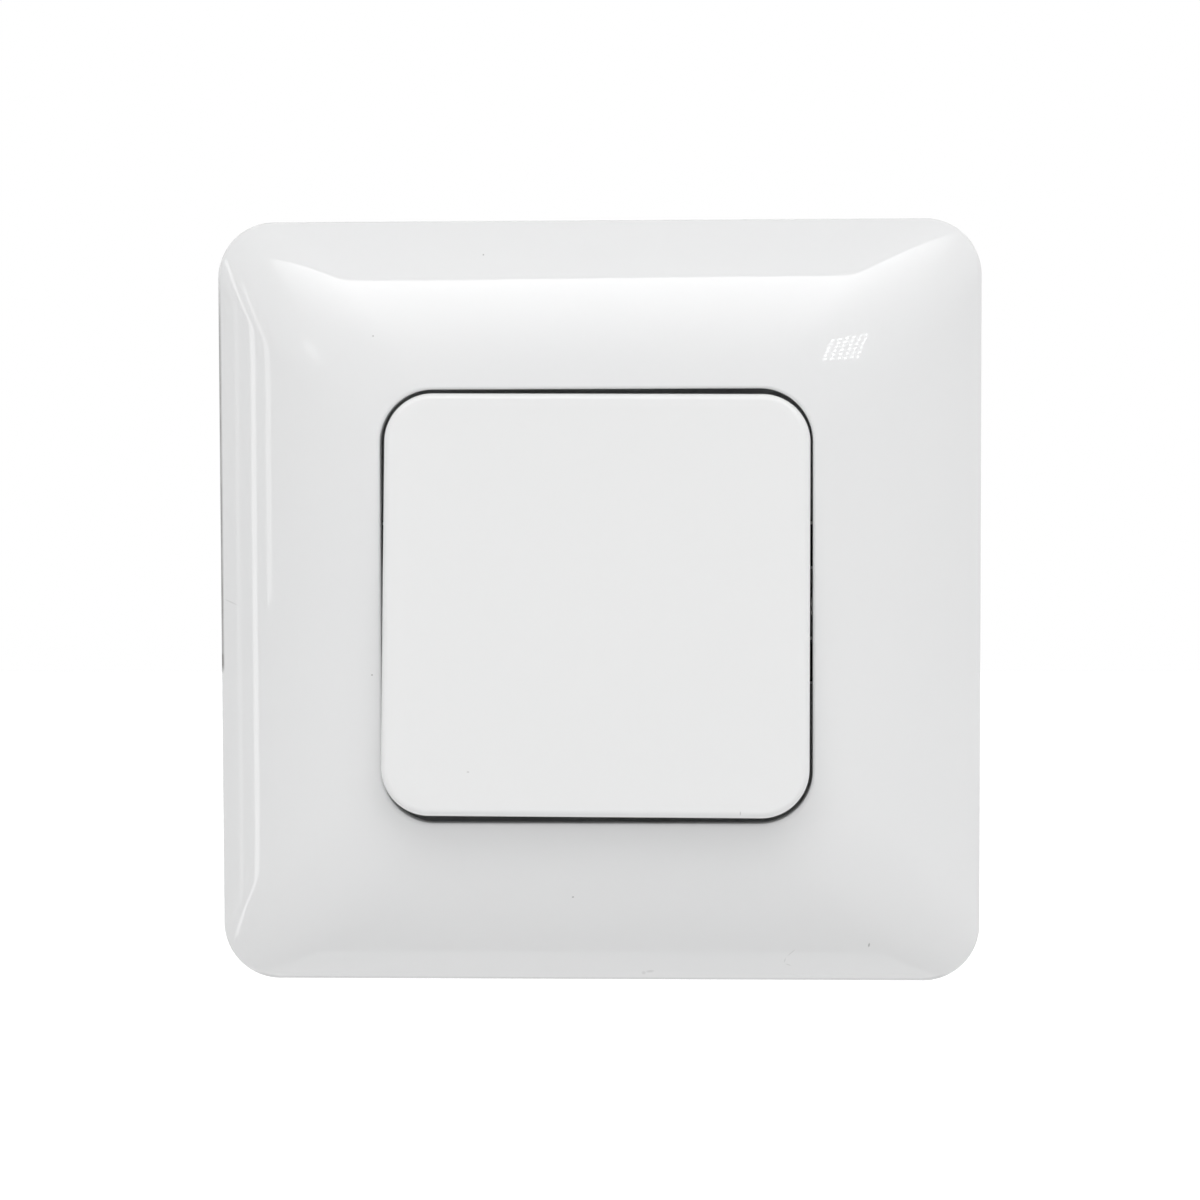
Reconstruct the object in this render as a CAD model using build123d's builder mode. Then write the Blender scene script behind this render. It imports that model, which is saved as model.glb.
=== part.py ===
from build123d import *
import os
from math import cos, radians, sin, sqrt

# Flush light switch with one rocker, for a round 60 mm box. Millimetres. X runs right as seen from the room,
# Y runs into the wall, Z is up. The origin is on the wall plane, in the middle of the support plate, and
# heights are counted from the wall towards the room, along -Y.

# Cover frame: a pillow-shaped shell with a square window
frame_size = 81.0
frame_corner = 6.0
frame_rim = 1.6
frame_wall = 2.0
pillow_outer_slope = 45.0
pillow_inner_slope = 4.2
pillow_top = 44.2
pillow_stations = 6
corner_bulge = 1.0067
corner_relief = 2.4
window_size = 45.0
window_corner = 5.5

# Snap hooks inside the frame
hook_inner = 23.2
hook_thickness = 1.4
hook_width = 5.0
hook_centre = 6.1
hook_foot = 1.4
hook_barb = 1.0

# Rocker cap, at rest with its upper half pressed in
rocker_width = 44.0
rocker_length = 43.7
rocker_corner = 5.0
rocker_depth = 6.0
rocker_wall = 1.6
rocker_edge = 0.6
rocker_tilt = 5.5
pivot_height = 8.9
face_above_pivot = 3.4
clip_width = 5.0
clip_centre = 8.0
clip_thickness = 1.2

# Rocker carrier, its trunnions and its hollow stem
carrier_width = 26.0
carrier_length = 12.0
carrier_bottom = -2.2
trunnion_radius = 1.1
trunnion_reach = 16.2
stem_radius = 2.5
stem_end = -17.0
stem_bore = 1.5
stem_bore_top = -4.4

# Plunger and spring in the stem
plunger_radius = 1.42
plunger_tip = -22.75
plunger_tail = -12.4
spring_radius = 1.15
spring_wire = 0.36
spring_turns = 4

# Support plate
plate_size = 71.0
plate_corner = 6.0
plate_thickness = 1.0
plate_window_x = 35.2
plate_window_z = 36.4
screw_spacing = 60.0
screw_slot_length = 7.0
screw_slot_width = 3.6

# Mechanism cover in front of the plate
cover_size = 42.0
cover_corner = 3.0
cover_thickness = 1.6
ear_inner = 13.4
ear_thickness = 2.4
ear_top = 10.1
ear_bore = 1.15
ear_throat = 1.9
leg_length = 9.3
leg_thickness = 1.2
leg_width = 6.0
leg_catch = 7.2

# Housing behind the plate
housing_x = 38.0
housing_z = 40.0
housing_depth = 20.0
housing_floor = 18.0
housing_corner = 2.0
chamber_x = 7.8
chamber_z = 29.0
wire_hole = 1.7
wire_entry = 5.0

# Contact lever and its bracket
lever_height = -14.4
lever_tilt = 10.5
lever_width = 3.8
lever_thickness = 0.8
lever_flat = 2.5
lever_reach = 9.8
lever_bend = 8.0
lever_trunnion = 0.7
contact_place = 8.5
contact_radius = 1.4
contact_height = 0.9
fixed_contact_height = 0.65
strip_thickness = 0.8
bracket_notch = 0.75

# Terminal blocks
block_x = 6.5
block_z = 7.0
block_depth = 11.0
block_place = 12.5
wire_bore = 1.5
wire_bore_depth = 9.0
clamp_hole = 1.75
clamp_shank = 1.7
clamp_head = 2.6
clamp_height = -12.5

# Claws and their screws
claw_pivot_x = 20.9
claw_pivot_height = -4.5
claw_seat = 0.95
claw_sheet = 1.2
claw_width = 8.4
claw_fork = 4.4
claw_lug_reach = 28.2
claw_screw_x = 25.0
claw_screw_radius = 1.5
claw_screw_hole = 1.8
claw_screw_head = 2.75
claw_screw_tip = -14.0

# Derived planes and sizes
tilt = radians(rocker_tilt)
dip = radians(lever_tilt)
across_plane = Plane(origin=(0, 0, 0), x_dir=(1, 0, 0), z_dir=(0, 0, -1))
upright_plane = Plane(origin=(0, 0, 0), x_dir=(0, 0, 1), z_dir=(1, 0, 0))
rising_plane = Plane(origin=(0, 0, 0), x_dir=(1, 0, 1), z_dir=(1, 0, -1))
falling_plane = Plane(origin=(0, 0, 0), x_dir=(1, 0, -1), z_dir=(-1, 0, -1))
rocker_plane = Plane(origin=(0, -pivot_height, 0), x_dir=(1, 0, 0), z_dir=(0, -cos(tilt), sin(tilt)))
rocker_side = Plane(origin=(0, -pivot_height, 0), x_dir=(0, sin(tilt), cos(tilt)), z_dir=(1, 0, 0))
rocker_axis = Axis((0, -pivot_height, 0), (0, -cos(tilt), sin(tilt)))
lever_plane = Plane(origin=(0, -lever_height, 0), x_dir=(1, 0, 0), z_dir=(0, -cos(dip), -sin(dip)))
lever_side = Plane(origin=(0, -lever_height, 0), x_dir=(0, -sin(dip), cos(dip)), z_dir=(1, 0, 0))
outer_slope = radians(pillow_outer_slope)
inner_slope = radians(pillow_inner_slope)
pillow_run = (frame_size - pillow_top) / 2
pillow_radius = pillow_run / (sin(outer_slope) - sin(inner_slope))
frame_height = frame_rim + pillow_radius * (cos(inner_slope) - cos(outer_slope))
cover_top = plate_thickness + cover_thickness
rocker_inside = face_above_pivot - rocker_wall
block_inner = block_place - block_x / 2
room_axis = Axis((0, 0, 0), (0, -1, 0))

os.makedirs("parts", exist_ok=True)


def pillow_section(share, inset):
    """Half width, height and corner radius of the pillow part way up its arc, moved inwards by the wall."""
    slope = outer_slope + (inner_slope - outer_slope) * share
    half = frame_size / 2 - pillow_radius * (sin(outer_slope) - sin(slope))
    height = frame_rim + pillow_radius * (cos(slope) - cos(outer_slope))
    corner = frame_corner + (window_corner - frame_corner) * share
    return half - inset * sin(slope), height - inset * cos(slope), corner - inset * sin(slope)


def corner_waste(half, corner, side, level):
    """Sketch of what lies outside the round corner of one section; its arc ends just outside the sides."""
    middle = half - corner / 2 + 1
    with Locations((side * middle, level * middle)):
        Rectangle(corner + 2, corner + 2)
    with Locations((side * (half - corner), level * (half - corner))):
        Circle(corner * corner_bulge, mode=Mode.SUBTRACT)


def arched_profile(plane, inset, stretch, relief, foot):
    """Closed arch across the pillow, through three of its sections, on straight walls down to the foot."""
    low, low_height, low_corner = pillow_section(0, inset)
    shoulder, shoulder_height, shoulder_corner = pillow_section(0.5, inset)
    high, high_height, high_corner = pillow_section(1, inset)
    wall = stretch * low - relief
    bend = stretch * shoulder - relief
    top = stretch * high - relief
    with BuildSketch(plane) as profile:
        with BuildLine():
            ThreePointArc((wall, low_height), (bend, shoulder_height), (top, high_height))
            Line((top, high_height), (-top, high_height))
            ThreePointArc((-top, high_height), (-bend, shoulder_height), (-wall, low_height))
            Polyline((-wall, low_height), (-wall, foot), (wall, foot), (wall, low_height))
        make_face()
    return profile.sketch


# Hollow of the cover frame: the arch set in by the wall, crossed across, upright and on both diagonals
with BuildPart() as frame_hollow:
    extrude(arched_profile(across_plane, frame_wall, 1, 0, -1), amount=frame_size, both=True)
    upright_arch = arched_profile(upright_plane, frame_wall, 1, 0, -1)
    extrude(upright_arch, amount=frame_size, both=True, mode=Mode.INTERSECT)
    for diagonal_plane in (rising_plane, falling_plane):
        diagonal_arch = arched_profile(diagonal_plane, frame_wall, sqrt(2), corner_relief, -1)
        extrude(diagonal_arch, amount=frame_size, both=True, mode=Mode.INTERSECT)

# Cover frame: the arch crossed across and upright, with lofted round corners, its hollow and a square window
with BuildPart() as cover_frame:
    extrude(arched_profile(across_plane, 0, 1, 0, 0), amount=frame_size, both=True)
    extrude(arched_profile(upright_plane, 0, 1, 0, 0), amount=frame_size, both=True, mode=Mode.INTERSECT)
    for side in (-1, 1):
        for level in (-1, 1):
            with BuildSketch(Plane.XZ):
                corner_waste(frame_size / 2, frame_corner, side, level)
            extrude(amount=frame_rim, mode=Mode.SUBTRACT)
            for station in range(pillow_stations + 1):
                half, height, corner = pillow_section(station / pillow_stations, 0)
                with BuildSketch(Plane.XZ.offset(height)):
                    corner_waste(half, corner, side, level)
            loft(mode=Mode.SUBTRACT)
    add(frame_hollow.part, mode=Mode.SUBTRACT)
    with BuildSketch(Plane.XZ.offset(frame_height - 2 * frame_wall)):
        RectangleRounded(window_size, window_size, window_corner)
    extrude(amount=4 * frame_wall, mode=Mode.SUBTRACT)
    for side in (-1, 1):
        for level in (-1, 1):
            with BuildSketch(Plane.XY.offset(level * hook_centre)):
                with BuildLine():
                    Polyline(
                        (side * hook_inner, -hook_foot - 1.3),
                        (side * (hook_inner - hook_barb), -hook_foot - 1.3),
                        (side * (hook_inner - hook_barb), -hook_foot - 0.9),
                        (side * (hook_inner + 0.2), -hook_foot),
                        (side * (hook_inner + hook_thickness), -hook_foot),
                        (side * (hook_inner + hook_thickness), -frame_height + 1.2),
                        (side * hook_inner, -frame_height + 1.2),
                        close=True,
                    )
                make_face()
            extrude(amount=hook_width / 2, both=True)

# Rocker cap: flat square face with round corners and a broken edge, a skirt, two ribs and four clip legs
with BuildPart() as rocker:
    with BuildSketch(rocker_plane.offset(face_above_pivot)):
        RectangleRounded(rocker_width, rocker_length, rocker_corner)
    extrude(amount=-rocker_depth)
    chamfer(rocker.faces().sort_by(rocker_axis)[-1].edges(), rocker_edge)
    with BuildSketch(rocker_plane.offset(rocker_inside)):
        RectangleRounded(
            rocker_width - 2 * rocker_wall, rocker_length - 2 * rocker_wall, rocker_corner - rocker_wall
        )
    extrude(amount=-rocker_depth, mode=Mode.SUBTRACT)
    with BuildSketch(rocker_plane.offset(rocker_inside)):
        with Locations((0, -13), (0, 13)):
            Rectangle(rocker_width - 2 * rocker_wall, 1.0)
    extrude(amount=-1.4)
    for side in (-1, 1):
        for level in (-1, 1):
            inner = carrier_length / 2 + 0.1
            with BuildSketch(rocker_side.offset(side * clip_centre)):
                with BuildLine():
                    Polyline(
                        (level * inner, rocker_inside),
                        (level * (inner + clip_thickness), rocker_inside),
                        (level * (inner + clip_thickness), carrier_bottom - 1.4),
                        (level * (inner + 0.2), carrier_bottom - 1.4),
                        (level * (inner - 0.8), carrier_bottom - 0.5),
                        (level * (inner - 0.8), carrier_bottom - 0.1),
                        (level * inner, carrier_bottom - 0.1),
                        close=True,
                    )
                make_face()
            extrude(amount=clip_width / 2, both=True)

# Rocker carrier: plate under the cap with two trunnions and a hollow stem that reaches into the housing
with BuildPart() as rocker_carrier:
    with BuildSketch(rocker_plane.offset(rocker_inside)):
        Rectangle(carrier_width, carrier_length)
    extrude(amount=carrier_bottom - rocker_inside)
    with BuildSketch(rocker_plane.offset(rocker_inside)):
        with Locations((-8, 0), (8, 0)):
            Rectangle(6.5, 8.5)
    extrude(amount=-1.2, mode=Mode.SUBTRACT)
    with BuildSketch(rocker_side):
        Circle(trunnion_radius)
    extrude(amount=trunnion_reach, both=True)
    with BuildSketch(rocker_plane.offset(carrier_bottom)):
        Circle(stem_radius)
    extrude(amount=stem_end - carrier_bottom)
    with BuildSketch(rocker_side):
        with BuildLine():
            Polyline(
                (-4.2, carrier_bottom),
                (4.2, carrier_bottom),
                (2.2, carrier_bottom - 3.2),
                (-2.2, carrier_bottom - 3.2),
                close=True,
            )
        make_face()
    extrude(amount=0.6, both=True)
    with BuildSketch(rocker_plane.offset(stem_end)):
        Circle(stem_bore)
    extrude(amount=stem_bore_top - stem_end, mode=Mode.SUBTRACT)

# Plunger: pin with a wedge nose across the lever and a thinner tail that the spring sits on
with BuildPart() as plunger:
    with BuildSketch(rocker_plane.offset(plunger_tip)):
        Circle(plunger_radius)
    extrude(amount=plunger_tail - plunger_tip)
    with BuildSketch(rocker_plane.offset(plunger_tail)):
        Circle(0.75)
    extrude(amount=1.6)
    for side in (-1, 1):
        with BuildSketch(rocker_side):
            with BuildLine():
                Polyline(
                    (side * 0.25, plunger_tip),
                    (side * plunger_radius, plunger_tip + 1.2),
                    (side * plunger_radius, plunger_tip),
                    close=True,
                )
            make_face()
        extrude(amount=plunger_radius, both=True, mode=Mode.SUBTRACT)

# Plunger spring: square wire wound between the end of the bore and the plunger's shoulder
spring_length = stem_bore_top - plunger_tail - spring_wire - 0.1
with BuildPart() as plunger_spring:
    spring_plane = rocker_plane.offset(plunger_tail + spring_wire / 2 + 0.05)
    with BuildLine() as coil:
        Helix(
            spring_length / spring_turns,
            spring_length,
            spring_radius,
            center=spring_plane.origin,
            direction=spring_plane.z_dir,
        )
    with BuildSketch(Plane(origin=coil.line @ 0, z_dir=coil.line % 0)):
        Rectangle(spring_wire, spring_wire)
    sweep(is_frenet=True)

# Support plate: stamped steel with a window, two screw slots, two claw screw holes and corner holes
with BuildPart() as support_plate:
    with BuildSketch(Plane.XZ) as plate_outline:
        Rectangle(plate_size, plate_size)
        chamfer(plate_outline.vertices(), plate_corner)
        Rectangle(plate_window_x, plate_window_z, mode=Mode.SUBTRACT)
        with Locations((0, -screw_spacing / 2), (0, screw_spacing / 2)):
            SlotOverall(screw_slot_length, screw_slot_width, rotation=90, mode=Mode.SUBTRACT)
        with Locations((-claw_screw_x, 0), (claw_screw_x, 0)):
            Circle(claw_screw_hole, mode=Mode.SUBTRACT)
        with Locations((-30.5, 0), (30.5, 0)):
            Rectangle(3.6, 14.0, mode=Mode.SUBTRACT)
        with Locations((-22, -29), (22, -29), (-22, 29), (22, 29)):
            Rectangle(9.0, 3.0, mode=Mode.SUBTRACT)
    extrude(amount=plate_thickness)

# Mechanism cover: flange on the plate, guard round the stem, bearing ears, catches, posts and snap legs
with BuildPart() as mechanism_cover:
    with BuildSketch(Plane.XZ.offset(plate_thickness)):
        RectangleRounded(cover_size, cover_size, cover_corner)
    extrude(amount=cover_thickness)
    with BuildSketch(Plane.XZ.offset(cover_top)):
        Rectangle(10.4, 13.0)
    extrude(amount=1.2)
    for side in (-1, 1):
        with BuildSketch(Plane.YZ.offset(side * (ear_inner + ear_thickness / 2))):
            with BuildLine():
                Polyline(
                    (-cover_top, -5.5),
                    (-cover_top, 5.5),
                    (-5.5, 3.2),
                    (-ear_top, 3.2),
                    (-ear_top, -3.2),
                    (-5.5, -3.2),
                    close=True,
                )
            make_face()
            with Locations((-pivot_height, 0)):
                Circle(ear_bore, mode=Mode.SUBTRACT)
            with Locations((-ear_top, 0)):
                Rectangle(2 * (ear_top - pivot_height), ear_throat, mode=Mode.SUBTRACT)
        extrude(amount=ear_thickness / 2, both=True)
        for level in (-1, 1):
            catch = hook_foot + 1.4
            with BuildSketch(Plane.XY.offset(level * hook_centre)):
                with BuildLine():
                    Polyline(
                        (side * 19.5, -cover_top),
                        (side * 21.0, -cover_top),
                        (side * 21.0, -catch),
                        (side * 22.9, -catch),
                        (side * 22.9, -catch - 0.4),
                        (side * 21.6, -catch - 1.2),
                        (side * 19.5, -catch - 1.2),
                        close=True,
                    )
                make_face()
            extrude(amount=2.2, both=True)
        with BuildSketch(Plane.XY):
            with BuildLine():
                Polyline(
                    (side * 15.9, -plate_thickness),
                    (side * (15.9 + leg_thickness), -plate_thickness),
                    (side * (15.9 + leg_thickness), leg_catch),
                    (side * 18.2, leg_catch),
                    (side * 18.2, leg_catch + 0.5),
                    (side * 16.8, leg_length),
                    (side * 15.9, leg_length),
                    close=True,
                )
            make_face()
        extrude(amount=leg_width / 2, both=True)
        with BuildSketch(Plane.YZ):
            with BuildLine():
                Polyline(
                    (-plate_thickness, side * 16.7),
                    (-plate_thickness, side * (16.7 + leg_thickness)),
                    (leg_catch, side * (16.7 + leg_thickness)),
                    (leg_catch, side * 19.1),
                    (leg_catch + 0.5, side * 19.1),
                    (leg_length, side * 17.6),
                    (leg_length, side * 16.7),
                    close=True,
                )
            make_face()
        extrude(amount=leg_width / 2, both=True)
    with BuildSketch(Plane.XZ.offset(plate_thickness)):
        with Locations((-block_place, block_place), (-block_place, -block_place), (block_place, block_place)):
            Rectangle(4.0, 4.0)
    extrude(amount=-(housing_floor - block_depth + plate_thickness - 0.1))
    with BuildSketch(Plane.XZ.offset(plate_thickness)):
        Rectangle(6.6, 9.4)
    extrude(amount=4 * cover_thickness, mode=Mode.SUBTRACT)

# Housing: deep moulding with the contact chamber, three terminal pockets, wire entries and claw lugs
with BuildPart() as switch_housing:
    with BuildSketch(Plane.XZ):
        RectangleRounded(housing_x, housing_z, housing_corner)
    extrude(amount=-housing_depth)
    chamfer(switch_housing.faces().sort_by(room_axis)[0].edges(), 0.8)
    with BuildSketch(Plane.XZ):
        Rectangle(chamber_x, chamber_z)
        with Locations((-block_place, block_place), (-block_place, -block_place), (block_place, block_place)):
            Rectangle(block_x + 0.4, block_z + 0.4)
        with Locations((-block_place, 17.1), (-block_place, -17.1), (block_place, 17.1)):
            Rectangle(5.8, 2.6)
        with Locations((-6.6, 10.4), (-6.6, -10.4), (6.6, 10.4)):
            Rectangle(6.0, 2.8)
        with Locations((5.2, 5.1)):
            Rectangle(2.8, 13.4)
    extrude(amount=-housing_floor, mode=Mode.SUBTRACT)
    with BuildSketch(Plane.XZ):
        with Locations((-16.4, 0), (16.4, 0)):
            Rectangle(2.2, leg_width + 0.8)
        with Locations((0, -17.3), (0, 17.3)):
            Rectangle(leg_width + 0.8, 2.2)
    extrude(amount=-leg_length - 0.7, mode=Mode.SUBTRACT)
    with BuildSketch(Plane.XZ.offset(-leg_catch + 0.1)):
        with Locations((-18.2, 0), (18.2, 0)):
            Rectangle(2.4, leg_width + 0.8)
        with Locations((0, -19.2), (0, 19.2)):
            Rectangle(leg_width + 0.8, 2.4)
    extrude(amount=-2.9, mode=Mode.SUBTRACT)
    with BuildSketch(Plane.XZ.offset(clamp_height + 3.3)):
        with Locations((-block_place, 19.3), (-block_place, -19.3), (block_place, 19.3)):
            Rectangle(6.6, 2.2)
    extrude(amount=-6.6, mode=Mode.SUBTRACT)
    with Locations(Plane.XZ.offset(-housing_depth)):
        with Locations((-block_place, block_place), (-block_place, -block_place), (block_place, block_place)):
            Cylinder(wire_hole, 6.0, mode=Mode.SUBTRACT)
            Box(wire_entry, wire_entry, 1.6, mode=Mode.SUBTRACT)
    for side in (-1, 1):
        for level in (-1, 1):
            with BuildSketch(Plane.XY.offset(level * 5.4)):
                with BuildLine():
                    Polyline(
                        (side * 18.5, 1.6),
                        (side * 20.2, 1.6),
                        (side * 22.3, 3.0),
                        (side * 22.3, 6.0),
                        (side * 20.2, 7.4),
                        (side * 18.5, 7.4),
                        close=True,
                    )
                make_face()
                with Locations((side * claw_pivot_x, -claw_pivot_height)):
                    Circle(claw_seat, mode=Mode.SUBTRACT)
                with Locations((side * (claw_pivot_x + 1), -claw_pivot_height)):
                    Rectangle(2, 2 * claw_seat, mode=Mode.SUBTRACT)
            extrude(amount=0.9, both=True)

# Contact lever: bent brass strip with two round trunnions
with BuildPart() as contact_lever:
    rise = (lever_reach - lever_flat) * sin(radians(lever_bend))
    with BuildSketch(lever_side):
        with BuildLine():
            Polyline(
                (-lever_reach, lever_thickness / 2 + rise),
                (-lever_flat, lever_thickness / 2),
                (lever_flat, lever_thickness / 2),
                (lever_reach, lever_thickness / 2 + rise),
                (lever_reach, -lever_thickness / 2 + rise),
                (lever_flat, -lever_thickness / 2),
                (-lever_flat, -lever_thickness / 2),
                (-lever_reach, -lever_thickness / 2 + rise),
                close=True,
            )
        make_face()
    extrude(amount=lever_width / 2, both=True)
    for side in (-1, 1):
        with BuildSketch(lever_side.offset(side * lever_width / 2)):
            Circle(lever_trunnion)
        extrude(amount=side * 1.5)

# Lever contacts: two silver buttons on the back of the lever's arms
contact_rise = (contact_place - lever_flat) * sin(radians(lever_bend)) - lever_thickness / 2
with BuildPart() as lever_contacts:
    for level in (-1, 1):
        button = Plane(
            origin=lever_side.from_local_coords((level * contact_place, contact_rise)),
            z_dir=lever_plane.z_dir.rotate(Axis.X, level * lever_bend),
        )
        with BuildSketch(button):
            Circle(contact_radius)
        extrude(amount=-contact_height)

# Common terminal: bracket on the chamber's floor, two notched posts for the trunnions, tail to its block
with BuildPart() as common_terminal:
    with BuildSketch(Plane.XZ.offset(-housing_floor)):
        Rectangle(6.6, 4.4)
        with Locations((4.35, 0)):
            Rectangle(2.3, 2.4)
        with Locations((5.2, 5.2)):
            Rectangle(2.0, 12.4)
        with Locations((7.0, 10.4)):
            Rectangle(2 * (block_inner - 7.0), 2.0)
    extrude(amount=strip_thickness)
    for side in (-1, 1):
        with BuildSketch(Plane.YZ.offset(side * 2.9)):
            with BuildLine():
                Polyline(
                    (housing_floor, -1.9),
                    (housing_floor, 1.9),
                    (-lever_height - 0.6, 1.6),
                    (-lever_height - 0.6, -1.6),
                    close=True,
                )
            make_face()
            with Locations((-lever_height, 0)):
                Circle(bracket_notch, mode=Mode.SUBTRACT)
            with Locations((-lever_height - 0.6, 0)):
                Rectangle(1.2, 2 * bracket_notch, mode=Mode.SUBTRACT)
        extrude(amount=strip_thickness / 2, both=True)


def contact_strip(level):
    """Brass strip flat on the housing's floor, under one fixed contact, with its tail to the terminal block."""
    with BuildPart() as strip:
        with BuildSketch(Plane.XZ.offset(-housing_floor)):
            with Locations((0, level * 8.4)):
                Rectangle(4.4, 4.8)
            with Locations((-block_inner / 2, level * 10.4)):
                Rectangle(block_inner, 2.0)
        extrude(amount=strip_thickness)
    return strip


upper_contact_strip = contact_strip(1)
lower_contact_strip = contact_strip(-1)

# Fixed contacts: two silver pads welded to the strips
with BuildPart() as fixed_contacts:
    with BuildSketch(Plane.XZ.offset(strip_thickness - housing_floor)):
        with Locations((0, -8.25), (0, 8.25)):
            Rectangle(3.0, 2.6)
    extrude(amount=fixed_contact_height)


def terminal_block(side, level):
    """Brass block in its pocket, with a blind wire bore from behind and a clamp screw hole from outside."""
    with BuildPart() as block:
        with BuildSketch(Plane.XZ.offset(-housing_floor)):
            with Locations((side * block_place, level * block_place)):
                Rectangle(block_x, block_z)
                Circle(wire_bore, mode=Mode.SUBTRACT)
        extrude(amount=wire_bore_depth)
        with BuildSketch(Plane.XZ.offset(wire_bore_depth - housing_floor)):
            with Locations((side * block_place, level * block_place)):
                Rectangle(block_x, block_z)
        extrude(amount=block_depth - wire_bore_depth)
        with BuildSketch(Plane.XY.offset(level * block_place)):
            with Locations((side * block_place, -clamp_height)):
                Circle(clamp_hole)
        extrude(amount=level * block_z, mode=Mode.SUBTRACT)
    return block


terminal_block_common = terminal_block(1, 1)
terminal_block_upper = terminal_block(-1, 1)
terminal_block_lower = terminal_block(-1, -1)

# Terminal screws: three slotted clamp screws, backed out of the wire bores
with BuildPart() as terminal_screws:
    for side, level in ((-1, 1), (-1, -1), (1, 1)):
        with BuildSketch(Plane.XY.offset(level * 14.2)):
            with Locations((side * block_place, -clamp_height)):
                Circle(clamp_shank)
        extrude(amount=level * 2.3)
        with BuildSketch(Plane.XY.offset(level * 16.5)):
            with Locations((side * block_place, -clamp_height)):
                Circle(clamp_head)
        extrude(amount=level * 1.7)
        with BuildSketch(Plane.XY.offset(level * 18.2)):
            with Locations((side * block_place, -clamp_height)):
                Rectangle(2.2 * clamp_head, 0.8, rotation=25)
        extrude(amount=level * -0.9, mode=Mode.SUBTRACT)

# Claws: bent steel with a slotted lug under the plate, a fork along the housing and pointed tips
claw_front = -claw_pivot_height - claw_sheet / 2
claw_back = -claw_pivot_height + claw_sheet / 2
claw_inner = claw_pivot_x - claw_sheet / 2
claw_outer = claw_pivot_x + claw_sheet / 2
with BuildPart() as claw_right:
    with BuildSketch(Plane.XY):
        with BuildLine():
            Polyline(
                (claw_lug_reach, claw_front),
                (claw_inner, claw_front),
                (claw_inner, 16.2),
                (23.4, 18.0),
                (24.0, 17.0),
                (claw_outer, 15.5),
                (claw_outer, claw_back),
                (claw_lug_reach, claw_back),
                close=True,
            )
        make_face()
    extrude(amount=claw_width / 2, both=True)
    with BuildSketch(Plane.YZ.offset(claw_pivot_x)):
        with Locations((13.0, 0)):
            Rectangle(13.4, claw_fork)
        with Locations((18.6, -3.2), (18.6, 3.2)):
            Rectangle(1.6, 1.6, rotation=45)
    extrude(amount=4.0, both=True, mode=Mode.SUBTRACT)
    with BuildSketch(Plane.XZ.offset(claw_pivot_height)):
        with Locations((25.4, 0)):
            SlotOverall(4.5, 3.4)
    extrude(amount=claw_sheet, both=True, mode=Mode.SUBTRACT)
    with BuildSketch(Plane.XY):
        with Locations((claw_pivot_x, -claw_pivot_height)):
            Rectangle(claw_sheet, claw_sheet)
    extrude(amount=6.0, both=True)
with BuildPart() as claw_left:
    add(claw_right.part.mirror(Plane.YZ))

# Claw screws: two pan heads on the plate, with their shanks through the claws' lugs
with BuildPart() as claw_screws:
    with BuildSketch(Plane.XZ.offset(plate_thickness)):
        with Locations((-claw_screw_x, 0), (claw_screw_x, 0)):
            Circle(claw_screw_head)
    extrude(amount=1.8)
    with BuildSketch(Plane.XZ.offset(plate_thickness)):
        with Locations((-claw_screw_x, 0), (claw_screw_x, 0)):
            Circle(claw_screw_radius)
    extrude(amount=claw_screw_tip - plate_thickness)
    with BuildSketch(Plane.XZ.offset(plate_thickness + 1.8)):
        with Locations((-claw_screw_x, 0), (claw_screw_x, 0)):
            Rectangle(2.2 * claw_screw_head, 0.9, rotation=30)
    extrude(amount=-1.2, mode=Mode.SUBTRACT)

cover_frame.part.label = "cover_frame"
export_step(cover_frame.part, "parts/cover_frame.step")
rocker.part.label = "rocker"
export_step(rocker.part, "parts/rocker.step")
rocker_carrier.part.label = "rocker_carrier"
export_step(rocker_carrier.part, "parts/rocker_carrier.step")
plunger.part.label = "plunger"
export_step(plunger.part, "parts/plunger.step")
plunger_spring.part.label = "plunger_spring"
export_step(plunger_spring.part, "parts/plunger_spring.step")
support_plate.part.label = "support_plate"
export_step(support_plate.part, "parts/support_plate.step")
mechanism_cover.part.label = "mechanism_cover"
export_step(mechanism_cover.part, "parts/mechanism_cover.step")
switch_housing.part.label = "switch_housing"
export_step(switch_housing.part, "parts/switch_housing.step")
contact_lever.part.label = "contact_lever"
export_step(contact_lever.part, "parts/contact_lever.step")
lever_contacts.part.label = "lever_contacts"
export_step(lever_contacts.part, "parts/lever_contacts.step")
common_terminal.part.label = "common_terminal"
export_step(common_terminal.part, "parts/common_terminal.step")
upper_contact_strip.part.label = "upper_contact_strip"
export_step(upper_contact_strip.part, "parts/upper_contact_strip.step")
lower_contact_strip.part.label = "lower_contact_strip"
export_step(lower_contact_strip.part, "parts/lower_contact_strip.step")
fixed_contacts.part.label = "fixed_contacts"
export_step(fixed_contacts.part, "parts/fixed_contacts.step")
terminal_block_common.part.label = "terminal_block_common"
export_step(terminal_block_common.part, "parts/terminal_block_common.step")
terminal_block_upper.part.label = "terminal_block_upper"
export_step(terminal_block_upper.part, "parts/terminal_block_upper.step")
terminal_block_lower.part.label = "terminal_block_lower"
export_step(terminal_block_lower.part, "parts/terminal_block_lower.step")
terminal_screws.part.label = "terminal_screws"
export_step(terminal_screws.part, "parts/terminal_screws.step")
claw_left.part.label = "claw_left"
export_step(claw_left.part, "parts/claw_left.step")
claw_right.part.label = "claw_right"
export_step(claw_right.part, "parts/claw_right.step")
claw_screws.part.label = "claw_screws"
export_step(claw_screws.part, "parts/claw_screws.step")
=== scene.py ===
import math
import bmesh
import bpy
from mathutils import Matrix, Quaternion, Vector


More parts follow.
